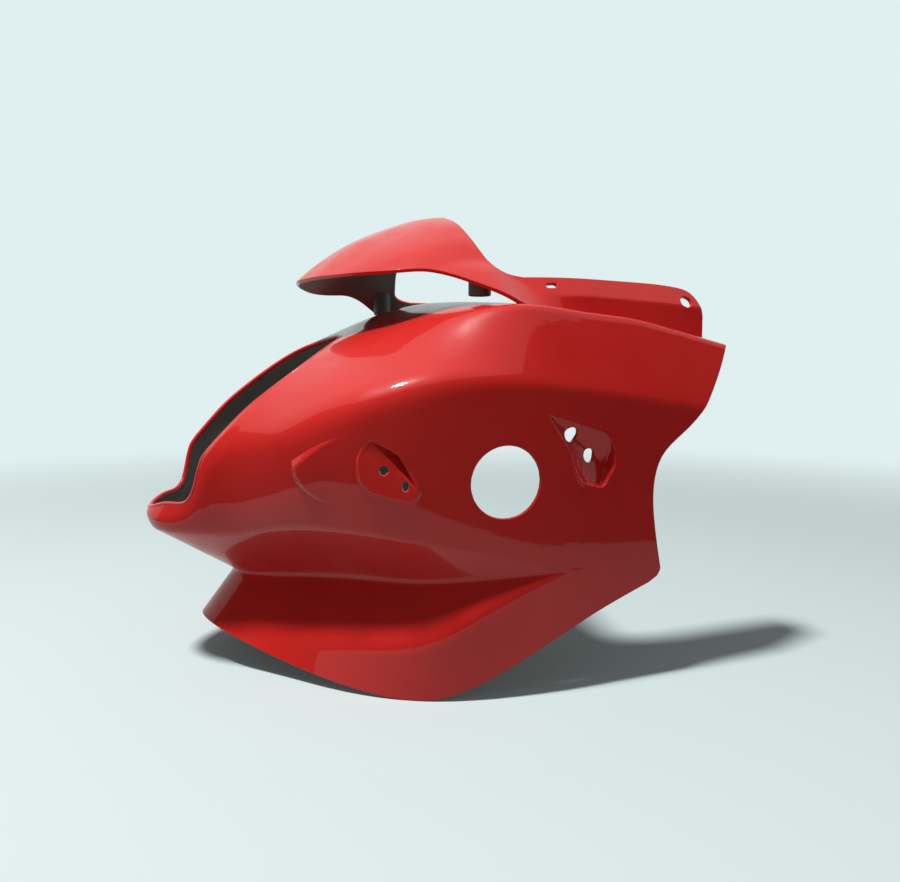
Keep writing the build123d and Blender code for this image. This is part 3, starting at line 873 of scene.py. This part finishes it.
def red_paint():
    """Gloss red over the moulding: slight drift in colour, fine orange peel, thin dust under the gloss."""
    made, nodes, links = material("gloss_red_paint")
    place = nodes.new("ShaderNodeTexCoord")
    drift = set_node(nodes, "ShaderNodeTexNoise", {"Scale": 9, "Detail": 3})
    colours = two_tones(nodes, RED_TONES)
    dust = set_node(nodes, "ShaderNodeTexNoise", {"Scale": 60, "Detail": 6})
    dull = set_node(nodes, "ShaderNodeMapRange",
                    {"From Min": 0.35, "From Max": 0.75, "To Min": 0.3, "To Max": 0.5})
    peel = set_node(nodes, "ShaderNodeTexNoise", {"Scale": 420, "Detail": 1})
    bump = set_node(nodes, "ShaderNodeBump", {"Strength": 0.05, "Distance": 0.0004})
    shader = set_node(nodes, "ShaderNodeBsdfPrincipled",
                      {"Specular IOR Level": 0.12, "Coat Weight": 0.55, "Coat IOR": 1.45,
                       "Coat Roughness": 0.035})
    out = nodes.new("ShaderNodeOutputMaterial")
    for texture in (drift, dust, peel):
        links.new(place.outputs["Object"], texture.inputs["Vector"])
    links.new(drift.outputs["Fac"], colours.inputs["Fac"])
    links.new(colours.outputs["Color"], shader.inputs["Base Color"])
    links.new(dust.outputs["Fac"], dull.inputs["Value"])
    links.new(dull.outputs["Result"], shader.inputs["Roughness"])
    links.new(peel.outputs["Fac"], bump.inputs["Height"])
    links.new(bump.outputs["Normal"], shader.inputs["Coat Normal"])
    links.new(shader.outputs["BSDF"], out.inputs["Surface"])
    return made


def bare_plastic():
    """The unpainted inside: dark brown-grey plastic with a fine grain and paler flow marks."""
    made, nodes, links = material("bare_dark_plastic")
    place = nodes.new("ShaderNodeTexCoord")
    flow = set_node(nodes, "ShaderNodeTexNoise", {"Scale": 14, "Detail": 5, "Distortion": 0.6})
    colours = two_tones(nodes, PLASTIC_TONES)
    grain = set_node(nodes, "ShaderNodeTexNoise", {"Scale": 900, "Detail": 2})
    bump = set_node(nodes, "ShaderNodeBump", {"Strength": 0.25, "Distance": 0.0003})
    shader = set_node(nodes, "ShaderNodeBsdfPrincipled", {"Roughness": 0.55})
    out = nodes.new("ShaderNodeOutputMaterial")
    for texture in (flow, grain):
        links.new(place.outputs["Object"], texture.inputs["Vector"])
    links.new(flow.outputs["Fac"], colours.inputs["Fac"])
    links.new(colours.outputs["Color"], shader.inputs["Base Color"])
    links.new(grain.outputs["Fac"], bump.inputs["Height"])
    links.new(bump.outputs["Normal"], shader.inputs["Normal"])
    links.new(shader.outputs["BSDF"], out.inputs["Surface"])
    return made


def beside_seats(p):
    """True for the cells that need a finer net, on the seats and the pad and just round them."""
    found = np.zeros(len(p), bool)
    pad = {"middle": PAD_MIDDLE, "facing": PAD_FACING, "outline": PAD_UPPER[1:] + PAD_LOWER[1:-1]}
    for spot in (FRONT_SEAT, REAR_SEAT, pad):
        q = in_frame(p, spot["middle"], spot["facing"])
        close = inside_polygon(q[:, :2], spot["outline"]) > -FINE_MARGIN
        found |= close & (np.abs(q[:, 2]) < FINE_REACH)
    return found


def pieces():
    """The shell, the bridge with its arms and bosses, and the rolled edge of the lamp opening."""
    paint, plastic = red_paint(), bare_plastic()
    skin = body_skin()
    skin.dents = [seat_dent(FRONT_SEAT), seat_dent(REAR_SEAT), pad_dent]
    body = Net(skin, marks(SHELL_ALONG), marks(SHELL_ACROSS), beside_seats)
    screw_holes = [seat_holes(seat) for seat in (FRONT_SEAT, REAR_SEAT)]
    for keep in (body_edges, lamp_opening, deck_cut, side_hole, *screw_holes):
        body.cut(keep)
    bridge = Net(bridge_skin(), marks(BRIDGE_ALONG), marks(BRIDGE_ACROSS))
    for keep in (bridge_edges, arm_hole, arm_slot):
        bridge.cut(keep)
    shell = as_object("cowl_shell", [with_mirror(*moulded(body))], paint, plastic)
    visor = as_object("visor_bridge", [with_mirror(*moulded(bridge)), with_mirror(*boss())], paint, plastic)
    return shell, visor, rolled_edge(opening_edge(body), paint)


def seen_directly(nodes, links):
    """1 for rays that show the backdrop itself: to the camera, in gloss, or through something clear."""
    path = nodes.new("ShaderNodeLightPath")
    shown = path.outputs["Is Camera Ray"]
    for ray in ("Is Glossy Ray", "Is Transmission Ray"):
        either = nodes.new("ShaderNodeMath")
        either.operation = "MAXIMUM"
        links.new(shown, either.inputs[0])
        links.new(path.outputs[ray], either.inputs[1])
        shown = either.outputs[0]
    return shown


def floor():
    """A pale floor that keeps the shadow near the cowl and runs out into the backdrop's colour."""
    made, nodes, links = material("pale_floor")
    place = nodes.new("ShaderNodeTexCoord")
    distance = nodes.new("ShaderNodeVectorMath")
    distance.operation = "LENGTH"
    fade = set_node(nodes, "ShaderNodeMapRange", {"From Min": FLOOR_FADE_START, "From Max": FLOOR_FADE_END})
    fade.interpolation_type = "SMOOTHSTEP"
    seen = set_node(nodes, "ShaderNodeBsdfDiffuse", {"Color": FLOOR_SEEN})
    lighting = set_node(nodes, "ShaderNodeBsdfDiffuse", {"Color": FLOOR_LIGHTING})
    matt = nodes.new("ShaderNodeMixShader")
    glow = set_node(nodes, "ShaderNodeEmission", {"Color": PALE})
    share = nodes.new("ShaderNodeMath")
    share.operation = "MULTIPLY"
    mix = nodes.new("ShaderNodeMixShader")
    out = nodes.new("ShaderNodeOutputMaterial")
    direct = seen_directly(nodes, links)
    links.new(place.outputs["Object"], distance.inputs[0])
    links.new(distance.outputs["Value"], fade.inputs["Value"])
    links.new(fade.outputs["Result"], share.inputs[0])
    links.new(direct, share.inputs[1])
    links.new(direct, matt.inputs["Fac"])
    links.new(lighting.outputs["BSDF"], matt.inputs[1])
    links.new(seen.outputs["BSDF"], matt.inputs[2])
    links.new(share.outputs[0], mix.inputs["Fac"])
    links.new(matt.outputs["Shader"], mix.inputs[1])
    links.new(glow.outputs["Emission"], mix.inputs[2])
    links.new(mix.outputs["Shader"], out.inputs["Surface"])
    size, lowest = FLOOR_HALF_WIDTH, cad_box[0][2] - FLOOR_GAP
    corners = [(-size, -size, lowest), (size, -size, lowest), (size, size, lowest), (-size, size, lowest)]
    mesh = bpy.data.meshes.new("floor")
    mesh.from_pydata(corners, [], [(0, 1, 2, 3)])
    mesh.materials.append(made)
    placed("floor", mesh)


def dark_card():
    """A black studio card on the floor and behind the camera, so that the gloss keeps its depth of colour."""
    made, nodes, links = material("black_card")
    shader = set_node(nodes, "ShaderNodeBsdfDiffuse", {"Color": CARD_BLACK})
    out = nodes.new("ShaderNodeOutputMaterial")
    links.new(shader.outputs["BSDF"], out.inputs["Surface"])
    low = cad_box[0][2] + CARD_GAP
    points, faces = [], []
    for i, (inner, outer) in enumerate(zip(CARD_NEAR, CARD_FAR)):
        points += [(*inner, low), (*outer, low), (*outer, CARD_TOP)]
        if i:
            k = 3 * i
            faces += [(k - 3, k, k + 1, k - 2), (k - 2, k + 1, k + 2, k - 1)]
    mesh = bpy.data.meshes.new("black_card")
    mesh.from_pydata(points, [], faces)
    mesh.materials.append(made)
    obj = placed("black_card", mesh)
    obj.visible_camera = False
    obj.visible_diffuse = False
    obj.visible_shadow = False


def lights():
    """Soft light from all round, the pale backdrop where it is seen, and one round lamp overhead."""
    world = bpy.data.worlds.new("studio")
    bpy.context.scene.world = world
    world.use_nodes = True
    nodes, links = world.node_tree.nodes, world.node_tree.links
    nodes.clear()
    soft = set_node(nodes, "ShaderNodeBackground", {"Color": (1, 1, 1, 1), "Strength": SOFT_LIGHT})
    shown = set_node(nodes, "ShaderNodeBackground", {"Color": PALE})
    mix = nodes.new("ShaderNodeMixShader")
    out = nodes.new("ShaderNodeOutputWorld")
    links.new(seen_directly(nodes, links), mix.inputs["Fac"])
    links.new(soft.outputs["Background"], mix.inputs[1])
    links.new(shown.outputs["Background"], mix.inputs[2])
    links.new(mix.outputs["Shader"], out.inputs["Surface"])
    lamp = bpy.data.lights.new("overhead_lamp", "AREA")
    lamp.shape = "DISK"
    lamp.size = LAMP_SIZE
    lamp.energy = LAMP_WATTS
    obj = placed("overhead_lamp", lamp)
    toward = Vector(LAMP_TOWARD).normalized()
    obj.location = toward * LAMP_DISTANCE
    obj.rotation_euler = toward.to_track_quat("Z", "Y").to_euler()


def camera():
    """The photograph's camera."""
    level_share = math.cos(CAMERA_TIP)
    view = Vector((-math.cos(CAMERA_TURN) * level_share, math.sin(CAMERA_TURN) * level_share,
                   -math.sin(CAMERA_TIP)))
    data = bpy.data.cameras.new("camera")
    data.sensor_width = SENSOR_WIDTH
    data.lens = FOCAL_PIXELS / PICTURE_PIXELS * SENSOR_WIDTH
    data.clip_start = CLIP_START
    obj = placed("camera", data)
    obj.location = CAMERA_SPOT
    obj.rotation_euler = view.to_track_quat("-Z", "Y").to_euler()
    bpy.context.scene.camera = obj


for piece in pieces():
    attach(piece, "root")
    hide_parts("headlight_cowl")
floor()
dark_card()
lights()
camera()
bpy.context.scene.view_settings.view_transform = "Standard"
